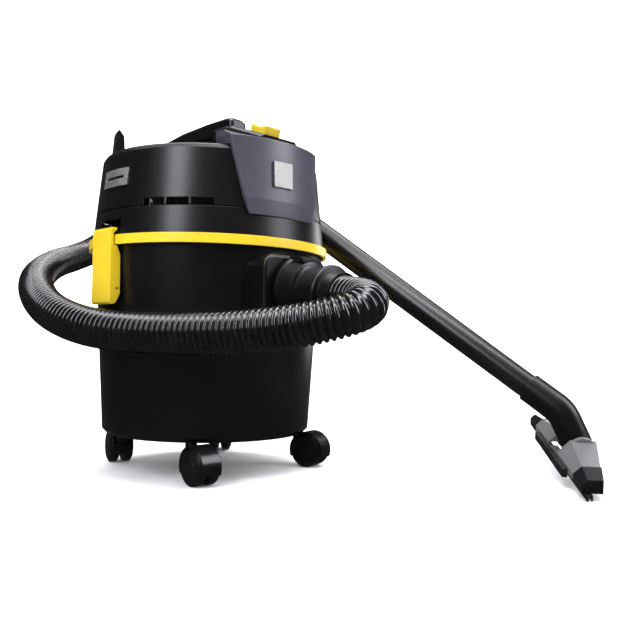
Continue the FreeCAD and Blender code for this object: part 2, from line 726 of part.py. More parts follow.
def carry_handle():
    """Bridge from the rear of the cover to the console, a level bar with a steep front leg."""
    bar = padded("handle_bar", "YZ_Plane", [
        ("-54", "Size.cover_crown_z + 2"), ("-49", "Size.handle_top - 4"),
        ("-43", "Size.handle_top"), ("0", "Size.handle_top"), ("50", "Size.handle_top - 2.5"),
        ("84", "Size.handle_top - 7"), ("104", "Size.handle_top - 26"),
        ("110", "Size.cover_top_z + 3"), ("86", "Size.cover_top_z + 5.6"),
        ("82", "Size.handle_top - 32"), ("70", "Size.handle_top - 24"),
        ("0", "Size.handle_top - 21"), ("-28", "Size.handle_top - 21"),
        ("-34", "Size.handle_top - 25"), ("-36", "Size.cover_crown_z + 2"),
    ], "2 * Size.handle_half_width")
    rounded(bar, "5", lambda edge: edge.BoundBox.XLength < 0.1)
    console = box("handle_console_room", "53", "97", "32.6", ("-26.5", "-127", "Size.cover_crown_z - 1"))
    subpart(cut("handle", bar, [console]), "carry_handle")


def cord_hooks():
    """Two upright hooks at the rear of the cover for winding the lead."""
    hooks = []
    for i, side in enumerate((-1, 1)):
        hook = padded(f"hook_{i}", "YZ_Plane", [
            ("104", "Size.cover_top_z + 1.8"), ("116", "Size.cover_top_z + 1.1"),
            ("113.5", "379.5"), ("110.5", "382.5"), ("105", "375"),
        ], "17")
        hooks.append(place(hook, rotation=Rotation(UP, side * 70)))
    subpart(grouped("hooks", hooks), "cord_hooks")


def blow_port():
    """Spigot at the rear that the hose cuff also fits, for blowing."""
    port = revolved("port_tube", [
        ("17.5", "0"), ("20.9", "0"), ("20.9", "22"), ("26", "22"), ("26", "26"),
        ("20.9", "28"), ("20.9", "38"), ("17.5", "38"),
    ])
    subpart(port, "blow_port", ("0", "109", "322"), Rotation(Vector(1, 0, 0), -90))


def cord_gland():
    gland = revolved("gland_ring", [
        ("3.6", "0"), ("5.9", "0"), ("5.9", "9"), ("9", "9"), ("8", "13"), ("3.6", "13"),
    ])
    subpart(gland, "cord_gland", (*around(150, "121.5"), "306"),
            Rotation(UP, 150) * LYING_FRONT)


def cover_screws():
    screws = []
    for angle in SCREW_ANGLES:
        screw = revolved(f"screw_{angle}", [
            ("0", "-3"), ("3.2", "-3"), ("4", "-1.5"), ("4", "-0.05"), ("2", "-0.05"),
            ("2", "16"), ("0", "18"),
        ])
        screws.append(place(screw, (*around(angle, "108"), "Size.base_low")))
    subpart(grouped("screws", screws), "cover_screws")


# ---------------------------------------------------------------- motor and filter
def motor_gasket():
    subpart(tube("motor_ring", "62", "50", "259.8", "262"), "motor_gasket")


def fan_housing():
    subpart(revolved("fan_can", [
        ("24", "262.1"), ("66", "262.1"), ("66", "290"), ("22", "290"), ("22", "288.4"),
        ("64.4", "288.4"), ("64.4", "263.7"), ("24", "263.7"),
    ]), "fan_housing")


def impeller():
    discs = [tube("impeller_lower", "Size.fan_radius", "24", "266", "267.2"),
             tube("impeller_upper", "Size.fan_radius", "Size.shaft_radius", "284", "285.2"),
             tube("impeller_hub", "10", "Size.shaft_radius", "272", "284")]
    blades = [box(f"impeller_blade_{i}", "32", "1.2", "16.8",
                  (f"25 * cos({40 * i})", f"25 * sin({40 * i})", "267.2"),
                  Rotation(UP, 40 * i + 24)) for i in range(9)]
    subpart(joined("fan_wheel", [*discs, *blades]), "impeller")


def rotor_shaft():
    subpart(cylinder("shaft", "Size.shaft_radius", "76"), "rotor_shaft", ("0", "0", "268"))


def armature():
    subpart(revolved("core", [
        ("Size.shaft_radius", "300"), ("20", "300"), ("24", "303"), ("24", "322"),
        ("20", "325"), ("11", "325"), ("11", "334"), ("Size.shaft_radius", "334"),
    ]), "armature")


def motor_stator():
    subpart(tube("stator", "Size.motor_radius", "24.6", "299", "326"), "motor_stator")


def motor_housing():
    can = revolved("motor_can", [
        ("11.2", "290.2"), ("Size.motor_radius + 3", "290.2"), ("Size.motor_radius + 3", "345"),
        ("9.2", "345"), ("9.2", "337.5"), ("11.2", "337.5"), ("11.2", "343"),
        ("Size.motor_radius + 0.2", "343"), ("Size.motor_radius + 0.2", "292.2"),
        ("11.2", "292.2"),
    ])
    windows = [box(f"motor_window_{side}", "24", "60", "16", ("-12", y, "326.5"))
               for side, y in (("rear", "30"), ("front", "-90"))]
    subpart(cut("motor_case", can, windows), "motor_housing")


def motor_bearings():
    bearings = [tube("bearing_lower", "11.1", "Size.shaft_radius + 0.05", "290.4", "296"),
                tube("bearing_upper", "9.1", "Size.shaft_radius + 0.05", "337.6", "342.6")]
    subpart(grouped("bearings", bearings), "motor_bearings")


def exhaust_foam():
    subpart(tube("foam", "96", "74", "260", "284"), "exhaust_foam")


def filter_cage():
    """Slotted basket under the motor inlet that holds the float ball."""
    basket = revolved("cage_basket", [
        ("Size.float_radius + 1.5", "Size.cage_low"), ("Size.cage_radius", "Size.cage_low"),
        ("Size.cage_radius", "250"), ("Size.cage_radius + 12", "254"),
        ("Size.cage_radius + 12", "256.9"), ("11", "256.9"), ("11", "254"),
        ("Size.cage_radius - 2", "250"), ("Size.cage_radius - 2", "Size.cage_low + 2"),
        ("Size.float_radius + 3.5", "Size.cage_low + 2"),
        ("Size.float_radius + 3.5", "Size.cage_low + 30"),
        ("Size.float_radius + 1.5", "Size.cage_low + 30"),
    ])
    slots = []
    for angle in range(0, 180, 30):
        corner = (f"3 * sin({angle}) - 60 * cos({angle})", f"0 - 60 * sin({angle}) - 3 * cos({angle})",
                  "Size.cage_low + 33")
        slots.append(box(f"cage_slot_{angle}", "120", "6", "28", corner, Rotation(UP, angle)))
    subpart(cut("cage_body", basket, slots), "filter_cage")


def filter_sleeve():
    subpart(tube("sleeve", "Size.cage_radius + 14", "Size.cage_radius + 0.3", "190", "249"),
            "filter_sleeve")


def float_ball():
    ball = DOC.addObject("Part::Sphere", "ball")
    bind(ball, "Radius", "Size.float_radius")
    subpart(ball, "float_ball", ("0", "0", "Size.cage_low + Size.float_radius + 3"))


# ---------------------------------------------------------------- hose, grip, wand, nozzle
def wand_axis():
    """Top end of the wand from the tank's axis, and the direction down the wand."""
    down = heading(size("wand_heading"), size("wand_slope"))
    bend = Vector(size("wand_bend_x"), size("wand_bend_y"), size("wand_bend_z"))
    return bend - down * size("wand_to_bend"), down


def hose():
    outer, wire, radii = swept(HOSE_ROUTE, size("hose_radius"))
    inner, _, _ = swept(HOSE_ROUTE, size("hose_bore"))
    shell = outer.cut(inner)
    expected = math.pi * (size("hose_radius") ** 2 - size("hose_bore") ** 2) * wire.Length
    print("hose length", round(wire.Length, 1), "volume ratio", round(shell.Volume / expected, 4))
    print("hose radii", [round(radius) for radius in radii])
    subpart(feature("hose_tube", shell), "hose")


def grip_corner():
    top, down = wand_axis()
    return top - down * 70


def hand_grip():
    """Bent hand tube between the hose and the wand, with a bleed hole under the slider."""
    top, down = wand_axis()
    hose_end = Vector(*HOSE_ROUTE[-1])
    onward = (grip_corner() - hose_end).normalize()
    route = [tuple(hose_end + onward * 2), tuple(grip_corner()), tuple(top + down * 36)]
    outer, _, _ = swept(route, size("grip_radius"), share=0.4)
    inner, _, _ = swept(route, size("grip_bore"), share=0.4)
    bleed = Part.makeBox(10, 14, 8, Vector(-5, 0, size("grip_bore") - 2.5))
    bleed.Placement = FreeCAD.Placement(top - down * 8, grip_turn())
    subpart(feature("grip", outer.cut(inner).cut(bleed)), "hand_grip")


def grip_turn():
    """Local +Y up along the wand and +Z square off its upper side."""
    _, down = wand_axis()
    side = down.cross(UP).normalize()
    return Rotation(side, down * -1, side.cross(down * -1), "XYZ")


def air_slider():
    """Sliding saddle over the grip's bleed hole."""
    top, down = wand_axis()
    radius = size("grip_radius")
    saddle = Part.makeBox(18, 26, 8, Vector(-9, -6, radius - 4))
    upper = [edge for edge in saddle.Edges if edge.BoundBox.ZMin > radius + 3]
    saddle = saddle.makeFillet(1.5, upper)
    saddle = saddle.cut(Part.makeCylinder(radius + 0.1, 60, Vector(0, -20, 0), Vector(0, 1, 0)))
    subpart(feature("slider", saddle), "air_slider", text_at(top - down * 8), grip_turn())


def hose_end_cuff():
    """Swivel sleeve that joins the hose to the grip."""
    onward = (grip_corner() - Vector(*HOSE_ROUTE[-1])).normalize()
    sleeve = revolved("end_cuff", [
        ("Size.hose_bore", "0"), ("24.4", "0"), ("24.4", "4"), ("23", "6"), ("22.6", "30"),
        ("20.9", "33"), ("Size.grip_radius + 0.1", "33"), ("Size.grip_radius + 0.1", "1.9"),
        ("Size.hose_bore", "1.9"),
    ])
    subpart(sleeve, "hose_end_cuff", HOSE_ROUTE[-1], Rotation(UP, onward))


def wand():
    """Tapered tube with its turned-down lower end inside the elbow."""
    top, down = wand_axis()
    length = "(Size.wand_to_bend - Size.sleeve_length)"
    pipe = revolved("wand_tube", [
        ("Size.wand_top_radius - 1.8", "0"), ("Size.wand_top_radius", "0"),
        ("Size.wand_end_radius", length), ("Size.wand_end_radius - 1.2", length),
        ("Size.wand_end_radius - 1.2", f"{length} + 30"),
        ("Size.wand_end_radius - 2.8", f"{length} + 30"),
        ("Size.wand_end_radius - 2.8", length),
    ])
    subpart(pipe, "wand", text_at(top), Rotation(UP, down))


def nozzle_turn():
    """Nozzle frame: +X along its length, +Y to its strips' side, -Z out of the sole."""
    return Rotation(size("nozzle_heading"), size("nozzle_pitch"), 0)


def nozzle_point(x, y, z):
    """Place of a point of the nozzle's frame, from the tank's axis."""
    base = Vector(size("nozzle_x"), size("nozzle_y"), size("nozzle_z"))
    return base + nozzle_turn().multVec(Vector(x, y, z))


def hinge_point():
    return nozzle_point(0, size("hinge_y"), size("hinge_z"))


def nozzle_neck():
    """Elbow from the wand's end to the pivot barrel in the nozzle."""
    top, down = wand_axis()
    bend = top + down * size("wand_to_bend")
    pivot = hinge_point()
    route = [tuple(bend - down * size("sleeve_length")), tuple(bend), tuple(pivot)]
    outer, _, _ = swept(route, size("wand_end_radius") + 2.4, share=0.25)
    inner, _, _ = swept(route, size("wand_end_radius") - 1.1, share=0.25)
    along = nozzle_turn().multVec(Vector(1, 0, 0))
    barrel = Part.makeCylinder(size("hinge_radius"), 46, pivot - along * 23, along)
    throat = Part.makeCylinder(size("hinge_radius") - 2, 38, pivot - along * 19, along)
    mouth = Part.makeBox(36, 24, 20, Vector(-18, -12, -20))
    mouth.Placement = FreeCAD.Placement(pivot, nozzle_turn())
    below = Part.makeBox(60, 60, 40, Vector(-30, -30, -40 - size("hinge_radius")))
    below.Placement = FreeCAD.Placement(pivot, nozzle_turn())
    neck = outer.fuse(barrel).cut(inner).cut(throat).cut(mouth).cut(below)
    subpart(feature("neck", neck.removeSplitter()), "nozzle_neck")


def fan_block(name, grow):
    """Fan-shaped block, widest and highest over the hinge, grown outwards all round."""
    reach = f"(Size.nozzle_half_length + {grow})"
    plan = padded(name + "_plan", "XY_Plane", [
        (f"-{reach}", f"8 + {grow}"), (f"-{reach}", f"-11 - {grow}"), ("-28", f"-33 - {grow}"),
        ("28", f"-33 - {grow}"), (reach, f"-11 - {grow}"), (reach, f"8 + {grow}"),
    ], "60")
    side = padded(name + "_side", "XZ_Plane", [
        (f"-{reach}", f"-12 - {grow}"), (reach, f"-12 - {grow}"), (reach, f"{grow}"),
        ("24", f"9 + {grow}"), ("-24", f"9 + {grow}"), (f"-{reach}", f"{grow}"),
    ], "100")
    slope = padded(name + "_slope", "YZ_Plane", [
        ("-60", "-40"), (f"8 + {grow}", "-40"), (f"8 + {grow}", f"-5 + {grow}"),
        (f"-6", f"9 + {grow}"), ("-60", f"9 + {grow}"),
    ], "400")
    return shared(name, shared(name + "_fan", plan, side), slope)


def nozzle_parts():
    """Shell, end caps, bristle row and rubber strips in the nozzle's own frame."""
    at = ("Size.nozzle_x", "Size.nozzle_y", "Size.nozzle_z")
    turn = nozzle_turn()
    half = "Size.nozzle_half_length"
    cap_length = "34"
    ears = [cylinder(f"nozzle_ear_{i}", "Size.hinge_radius + 2.5", "7.5",
                     (x, "Size.hinge_y", "Size.hinge_z"), LYING_RIGHT)
            for i, x in enumerate(("-28.9", "21.4"))]
    ends = [box(f"nozzle_end_room_{i}", "60", "80", "60", (x, "-60", "-30"))
            for i, x in enumerate((f"-60 - {half} + {cap_length}", f"{half} - {cap_length}"))]
    cradle = cylinder("nozzle_cradle", "Size.hinge_radius + 0.4", "46.8",
                      ("-23.4", "Size.hinge_y", "Size.hinge_z"), LYING_RIGHT)
    window = box("nozzle_window", "42.8", "54", "42", ("-21.4", "-40", "-8.5"))
    mouth = box("nozzle_mouth", "42.8", "38", "20", ("-21.4", "-40", "-20"))
    throats = [box(f"nozzle_throat_{i}", f"{half} - {cap_length} - 24", "12", "9", (x, "-7", "-14"))
               for i, x in enumerate((f"{cap_length} - {half} + 4", "20"))]
    body = joined("nozzle_solid", [fan_block("nozzle_fan", "0"), *ears])
    subpart(cut("nozzle_case", body, [*ends, cradle, window, mouth, *throats]),
            "nozzle_shell", at, turn)

    caps = []
    for i, x in enumerate((f"{cap_length} - {half} - 0.05", f"-60 + {half} - {cap_length} + 0.05")):
        middle = box(f"nozzle_cap_room_{i}", "400", "90", "80",
                     (x if i == 0 else f"{x} - 340", "-60", "-40"))
        caps.append(cut(f"nozzle_cap_{i}", fan_block(f"nozzle_cap_fan_{i}", "0.8"), [middle]))
    subpart(grouped("nozzle_caps", caps), "nozzle_end_caps", at, turn)

    strip = f"({half} + 8)"
    row = box("bristle_row", f"2 * {strip}", "3", "6.1", (f"-{strip}", "-1.5", "-19"))
    subpart(grouped("bristle_rows", [row]), "nozzle_bristles", at, turn)

    lip = box("strip_lip", f"2 * {strip}", "1.6", "5.1", (f"-{strip}", "3.4", "-18"))
    bumper = box("strip_bumper", "150", "5.5", "9", ("-75", "8.1", "-16.5"))
    subpart(grouped("strips", [lip, bumper]), "nozzle_squeegee", at, turn)


def check_and_export():
    """Stop at a failed object, then write each sub-part's solids."""
    DOC.recompute()
    for thing in DOC.Objects:
        if "Invalid" in thing.State or "Error" in thing.State:
            raise RuntimeError(f"{thing.Label}: {thing.State}")
    for thing in SUBPARTS:
        shape = thing.Shape
        if shape.isNull() or not shape.isValid() or not shape.Solids:
            raise RuntimeError(f"{thing.Label}: no valid solid")
    for thing in SUBPARTS:
        thing.Shape.exportStep(f"parts/{thing.Label}.step")
    print(len(SUBPARTS), "sub-parts")


tank()
rim_band()
caster_sockets()
inlet_housing()
inlet_seal()
inlet_deflector()
hose_cuff()
cuff_catch()
latch_parts()
for position, (stem_angle, stem_beyond, trail_angle) in CASTERS.items():
    caster("caster_" + position, stem_angle, stem_beyond, trail_angle)
head_base()
head_gasket()
head_cover()
switch_console()
front_panel()
badge()
side_plates()
power_button()
switch_body()
carry_handle()
cord_hooks()
blow_port()
cord_gland()
cover_screws()
motor_gasket()
fan_housing()
impeller()
rotor_shaft()
armature()
motor_stator()
motor_housing()
motor_bearings()
exhaust_foam()
filter_cage()
filter_sleeve()
float_ball()
hose()
hand_grip()
air_slider()
hose_end_cuff()
wand()
nozzle_neck()
nozzle_parts()
check_and_export()
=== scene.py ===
"""A shop vacuum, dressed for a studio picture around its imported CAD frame.

Everything is in metres in the row frame: +Z up, the machine's front towards -Y, the floor at z = 0.
"""
import json
import math
import random

import bpy
from mathutils import Matrix, Vector


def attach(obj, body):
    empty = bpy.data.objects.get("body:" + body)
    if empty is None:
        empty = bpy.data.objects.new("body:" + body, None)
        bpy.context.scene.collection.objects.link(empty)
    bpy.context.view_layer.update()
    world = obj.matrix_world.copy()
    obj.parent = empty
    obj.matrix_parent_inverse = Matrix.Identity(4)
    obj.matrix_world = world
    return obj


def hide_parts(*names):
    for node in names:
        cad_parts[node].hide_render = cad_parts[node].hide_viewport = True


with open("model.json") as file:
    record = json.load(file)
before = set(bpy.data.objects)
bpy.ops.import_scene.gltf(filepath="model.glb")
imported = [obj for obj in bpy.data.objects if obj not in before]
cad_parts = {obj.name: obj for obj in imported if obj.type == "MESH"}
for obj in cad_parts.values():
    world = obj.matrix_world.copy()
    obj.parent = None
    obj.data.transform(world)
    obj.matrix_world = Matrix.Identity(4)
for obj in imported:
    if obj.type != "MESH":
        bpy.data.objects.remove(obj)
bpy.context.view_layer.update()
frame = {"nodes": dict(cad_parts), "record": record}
NODES = frame["nodes"]
SCENE = bpy.context.scene

MACHINE = Vector((-0.1175, 0.1157, 0.0))   # the tank's axis on the floor

# ---------------------------------------------------------------- materials


class Shader:
    """A material's node tree with short ways to add and join its nodes."""

    def __init__(self, name):
        self.material = bpy.data.materials.new(name)
        self.material.use_nodes = True
        self.tree = self.material.node_tree
        self.surface = self.tree.nodes["Principled BSDF"]
        self.place = self.add("ShaderNodeTexCoord").outputs["Object"]

    def add(self, kind, **settings):
        node = self.tree.nodes.new(kind)
        for key, value in settings.items():
            setattr(node, key, value)
        return node

    def join(self, source, target):
        self.tree.links.new(source, target)

    def fixed(self, **sockets):
        """Sets sockets of the surface shader, an underscore standing for a space."""
        for key, value in sockets.items():
            self.surface.inputs[key.replace("_", " ")].default_value = value

    def stretched(self, scale):
        """The object's own coordinates, scaled differently along each axis."""
        node = self.add("ShaderNodeMapping")
        node.inputs["Scale"].default_value = scale
        self.join(self.place, node.inputs["Vector"])
        return node.outputs["Vector"]

    def noise(self, scale, detail=4.0, roughness=0.55, distortion=0.0, vector=None):
        node = self.add("ShaderNodeTexNoise")
        node.inputs["Scale"].default_value = scale
        node.inputs["Detail"].default_value = detail
        node.inputs["Roughness"].default_value = roughness
        node.inputs["Distortion"].default_value = distortion
        self.join(vector or self.place, node.inputs["Vector"])
        return node.outputs["Fac"]

    def cells(self, scale):
        node = self.add("ShaderNodeTexVoronoi")
        node.inputs["Scale"].default_value = scale
        self.join(self.place, node.inputs["Vector"])
        return node.outputs["Distance"]

    def ranged(self, value, low, high, to_low, to_high):
        """Maps low..high onto to_low..to_high, and no further."""
        node = self.add("ShaderNodeMapRange")
        node.inputs["From Min"].default_value = low
        node.inputs["From Max"].default_value = high
        node.inputs["To Min"].default_value = to_low
        node.inputs["To Max"].default_value = to_high
        self.join(value, node.inputs["Value"])
        return node.outputs["Result"]

    def maths(self, operation, a, b):
        node = self.add("ShaderNodeMath", operation=operation)
        for socket, value in zip(node.inputs, (a, b)):
            if isinstance(value, (int, float)):
                socket.default_value = value
            else:
                self.join(value, socket)
        return node.outputs["Value"]

    def mixed(self, factor, a, b):
        """A colour between a and b; each is a colour or another node's output."""
        node = self.add("ShaderNodeMix", data_type="RGBA")
        colour_in = [s for s in node.inputs if s.type == "RGBA"]
        if isinstance(factor, (int, float)):
            node.inputs["Factor"].default_value = factor
        else:
            self.join(factor, node.inputs["Factor"])
        for socket, value in zip(colour_in, (a, b)):
            if isinstance(value, tuple):
                socket.default_value = (*value[:3], 1)
            else:
                self.join(value, socket)
        return [s for s in node.outputs if s.type == "RGBA"][0]

    def bump(self, height, distance, strength, under=None):
        """A surface normal from a height, laid over another normal if one is given."""
        node = self.add("ShaderNodeBump")
        node.inputs["Strength"].default_value = strength
        node.inputs["Distance"].default_value = distance
        self.join(height, node.inputs["Height"])
        if under is not None:
            self.join(under, node.inputs["Normal"])
        return node.outputs["Normal"]

    def softened_edges(self, radius):
        """A normal that turns smoothly over edges, as if they were rounded."""
        node = self.add("ShaderNodeBevel", samples=6)
        node.inputs["Radius"].default_value = radius
        return node.outputs["Normal"]

    def edge_mask(self, radius):
        """1 near convex and concave edges, 0 on flat and gently curved faces."""
        rounded = self.softened_edges(radius)
        flat = self.add("ShaderNodeNewGeometry").outputs["Normal"]
        dot = self.add("ShaderNodeVectorMath", operation="DOT_PRODUCT")
        self.join(rounded, dot.inputs[0])
        self.join(flat, dot.inputs[1])
        return self.ranged(dot.outputs["Value"], 0.995, 0.80, 0.0, 1.0)

    def set(self, socket, value):
        self.join(value, self.surface.inputs[socket])


GRAIN_SIZE = 0.0006


def moulded(name, dark, light, roughness, grain=1.0, edge=0.0008, wear=0.35, specular=0.4):
    """Moulded plastic: spark-eroded grain, slow colour drift, handling smears and rubbed edges."""
    s = Shader(name)
    s.fixed(Specular_IOR_Level=specular)
    drift = s.noise(9.0, 3.0)
    speck = s.noise(2600.0, 2.0)
    body = s.mixed(s.ranged(drift, 0.35, 0.65, 0.0, 1.0), dark, light)
    fleck = tuple(min(1.0, c * 1.5 + 0.004) for c in light)
    body = s.mixed(s.ranged(speck, 0.62, 0.75, 0.0, 0.2), body, fleck)
    patches = s.ranged(s.noise(60.0, 6.0), 0.42, 0.62, 0.0, wear)
    rubbed = s.maths("MULTIPLY", s.edge_mask(edge * 1.4), patches)
    pale = tuple(min(1.0, c * 1.5 + 0.03) for c in light)
    s.set("Base Color", s.mixed(rubbed, body, pale))
    smear = s.noise(14.0, 6.0, 0.62, 0.6, s.stretched((1.0, 1.0, 0.35)))
    fine = s.noise(420.0, 3.0)
    rough = s.maths("ADD", s.ranged(smear, 0.3, 0.75, roughness - 0.025, roughness + 0.035),
                    s.ranged(fine, 0.3, 0.7, -0.015, 0.015))
    s.set("Roughness", rough)
    pits = s.noise(1.0 / GRAIN_SIZE, 3.0, 0.6)
    s.set("Normal", s.bump(pits, 0.00003, 0.4 * grain, s.softened_edges(edge)))
    return s.material


def ribbed(name, dark, light, roughness):
    """Thin blown plastic of the hose: nearly even black, a little duller in patches."""
    s = Shader(name)
    s.fixed(Specular_IOR_Level=0.75)
    drift = s.noise(30.0, 4.0)
    s.set("Base Color", s.mixed(s.ranged(drift, 0.35, 0.65, 0.0, 1.0), dark, light))
    s.set("Roughness", s.ranged(s.noise(120.0, 3.0), 0.3, 0.7, roughness - 0.03, roughness + 0.05))
    s.set("Normal", s.bump(s.noise(900.0, 2.0), 0.00002, 0.3))
    return s.material


def brushed(name, dark, light, roughness, along=(1.0, 1.0, 1.0), edge=0.0003):
    """Metal with fine lines along one direction, dull patches and bright edges."""
    s = Shader(name)
    s.fixed(Metallic=1.0, Anisotropic=0.35)
    lines = s.noise(900.0, 4.0, 0.65, 0.0, s.stretched(along))
    patch = s.noise(40.0, 5.0)
    body = s.mixed(s.ranged(lines, 0.3, 0.7, 0.0, 1.0), dark, light)
    body = s.mixed(s.ranged(patch, 0.45, 0.7, 0.0, 0.35), body, tuple(c * 0.75 for c in dark))
    bright = tuple(min(1.0, c * 1.3) for c in light)
    s.set("Base Color", s.mixed(s.maths("MULTIPLY", s.edge_mask(edge), 0.6), body, bright))
    s.set("Roughness", s.ranged(lines, 0.3, 0.7, roughness - 0.05, roughness + 0.1))
    s.set("Normal", s.bump(lines, 0.00004, 0.4, s.softened_edges(edge)))
    return s.material


def soft_rubber(name, dark, light):
    """Dull rubber with a cloudy bloom."""
    s = Shader(name)
    s.fixed(Specular_IOR_Level=0.25)
    bloom = s.noise(70.0, 5.0)
    s.set("Base Color", s.mixed(s.ranged(bloom, 0.4, 0.68, 0.0, 1.0), dark, light))
    s.set("Roughness", s.ranged(bloom, 0.3, 0.7, 0.58, 0.78))
    s.set("Normal", s.bump(s.noise(1400.0, 3.0), 0.00008, 0.5, s.softened_edges(0.0004)))
    return s.material


def open_foam(name, dark, light):
    """Foam with open cells."""
    s = Shader(name)
    s.fixed(Specular_IOR_Level=0.15, Sheen_Weight=0.3)
    pores = s.cells(700.0)
    s.set("Base Color", s.mixed(s.ranged(pores, 0.0, 0.6, 0.0, 1.0), dark, light))
    s.set("Roughness", s.ranged(pores, 0.0, 0.6, 0.8, 1.0))
    s.set("Normal", s.bump(pores, 0.0006, 0.8))
    return s.material


def woven_cloth(name, dark, light):
    """Filter cloth with two crossing sets of threads."""
    s = Shader(name)
    s.fixed(Specular_IOR_Level=0.2, Sheen_Weight=0.4)
    threads = s.noise(900.0, 2.0, 0.5, 0.0, s.stretched((1.0, 1.0, 0.3)))
    cross = s.noise(900.0, 2.0, 0.5, 0.0, s.stretched((0.3, 0.3, 1.0)))
    weave = s.maths("MAXIMUM", threads, cross)
    s.set("Base Color", s.mixed(s.ranged(weave, 0.4, 0.7, 0.0, 1.0), dark, light))
    s.set("Roughness", s.ranged(weave, 0.4, 0.7, 0.95, 0.8))
    s.set("Normal", s.bump(weave, 0.0003, 0.7))
    return s.material


BODY = moulded("body_plastic", (0.0018, 0.0018, 0.0022), (0.0032, 0.0032, 0.0040), 0.31, 0.6,
               specular=0.36, wear=0.10)
PANEL = moulded("panel_plastic", (0.034, 0.033, 0.045), (0.042, 0.041, 0.055), 0.34, 0.4, edge=0.0016,
                specular=0.5, wear=0.15)
YELLOW = moulded("yellow_plastic", (0.54, 0.385, 0.006), (0.62, 0.445, 0.010), 0.33, 0.5,
                 specular=0.5, wear=0.2)
HOSE = ribbed("hose_plastic", (0.0025, 0.0025, 0.003), (0.004, 0.004, 0.0045), 0.19)
WAND = moulded("wand_plastic", (0.004, 0.0034, 0.003), (0.007, 0.006, 0.0055), 0.28, 0.5,
               edge=0.0004, wear=0.1)
CASTER = moulded("caster_plastic", (0.002, 0.002, 0.0025), (0.004, 0.004, 0.005), 0.24, 0.4,
                 specular=0.5, wear=0.1)
TRIM = brushed("trim_metal", (0.62, 0.61, 0.56), (0.78, 0.77, 0.72), 0.42, (0.1, 0.1, 1.0))
PLATE = brushed("plate_metal", (0.19, 0.187, 0.175), (0.25, 0.247, 0.235), 0.36, (0.1, 0.1, 1.0))
STEEL = brushed("steel", (0.45, 0.45, 0.46), (0.62, 0.62, 0.63), 0.3, (1.0, 1.0, 0.15))
ALLOY = brushed("alloy", (0.60, 0.60, 0.61), (0.75, 0.75, 0.76), 0.35, (1.0, 0.2, 1.0))
MOTOR = moulded("motor_plastic", (0.10, 0.10, 0.10), (0.14, 0.14, 0.14), 0.5)
SEAL = soft_rubber("seal_rubber", (0.004, 0.004, 0.004), (0.010, 0.010, 0.010))
FOAM = open_foam("foam", (0.06, 0.06, 0.065), (0.20, 0.20, 0.21))
CLOTH = woven_cloth("filter_cloth", (0.50, 0.48, 0.42), (0.78, 0.76, 0.70))
NOZZLE = moulded("nozzle_plastic", (0.085, 0.085, 0.089), (0.105, 0.105, 0.110), 0.42, 0.5, wear=0.1)
FLOAT = moulded("float_plastic", (0.66, 0.64, 0.56), (0.80, 0.78, 0.70), 0.45)
BRISTLE = moulded("bristle", (0.010, 0.010, 0.011), (0.03, 0.03, 0.032), 0.42, 0.3, edge=0.0002)
BY_SLOT = {
    "body_plastic": BODY, "panel_plastic": PANEL, "yellow_plastic": YELLOW, "hose_plastic": HOSE,
    "wand_plastic": WAND, "caster_plastic": CASTER, "trim_metal": TRIM, "steel": STEEL, "alloy": ALLOY,
    "motor_plastic": MOTOR, "seal_rubber": SEAL, "foam": FOAM, "filter_cloth": CLOTH,
    "float_plastic": FLOAT, "bristle": BRISTLE, "nozzle_plastic": NOZZLE,
}

BY_NODE = {"badge": PLATE}

for entry in frame["record"]["subparts"]:
    for slot in NODES[entry["node"]].material_slots:
        slot.material = BY_NODE.get(entry["node"], BY_SLOT[entry["material_slot"]])

# ---------------------------------------------------------------- hose

HOSE_RADIUS = 0.0205       # over the ribs
HOSE_GROOVE = 0.0174       # in the grooves
HOSE_PITCH = 0.0063        # from rib to rib
RIB_STEPS = 12             # rings of vertices in one pitch
ROUND_STEPS = 48           # vertices in one ring
ROUTE_RESOLUTION = 160     # points of the curve between two points of the route
SMOOTHING_ROUNDS = 24

# The CAD hose's own route from the cuff to the hand grip, in millimetres from the tank's axis.
HOSE_ROUTE = [
    (0, -217.5, 193.6), (0, -241.7, 191), (-13, -263, 184.5), (-38, -265, 175), (-63, -238, 165),
    (-88, -187, 157), (-115, -127, 154), (-140, -66, 154), (-160, -8, 159), (-168, 50, 173),
    (-158, 112, 193), (-133, 178, 216), (-92, 246, 236), (-43, 311, 255), (2, 352, 268),
    (50, 374, 287), (105, 366, 335), (142, 322, 380), (154, 262, 408), (148.8, 211.6, 407.3),
    (145, 167, 393),
]


def spline_points(route, spacing):
    """Evenly spaced points of the smooth curve that the route's points steer."""
    curve = bpy.data.curves.new("route", "CURVE")
    curve.dimensions = "3D"
    curve.resolution_u = ROUTE_RESOLUTION
    spline = curve.splines.new("NURBS")
    spline.points.add(len(route) - 1)
    for point, at in zip(spline.points, route):
        point.co = (*at, 1.0)
    spline.order_u = 3
    spline.use_endpoint_u = True
    carrier = bpy.data.objects.new("route", curve)
    mesh = bpy.data.meshes.new_from_object(carrier)
    raw = [v.co.copy() for v in mesh.vertices]
    bpy.data.objects.remove(carrier)
    bpy.data.curves.remove(curve)
    lengths = [0.0]
    for a, b in zip(raw, raw[1:]):
        lengths.append(lengths[-1] + (b - a).length)
    count = round(lengths[-1] / spacing)
    points = []
    k = 0
    for i in range(count + 1):
        along = lengths[-1] * i / count
        while k < len(raw) - 2 and lengths[k + 1] < along:
            k += 1
        t = (along - lengths[k]) / max(lengths[k + 1] - lengths[k], 1e-9)
        points.append(raw[k].lerp(raw[k + 1], min(max(t, 0.0), 1.0)))
    return points, lengths[-1]


def smoothed(points):
    """The points with their corners eased by repeated averaging; the ends stay."""
    for _ in range(SMOOTHING_ROUNDS):
        inner = [(a + b * 2 + c) / 4 for a, b, c in zip(points, points[1:], points[2:])]
        points = [points[0], *inner, points[-1]]
    return points


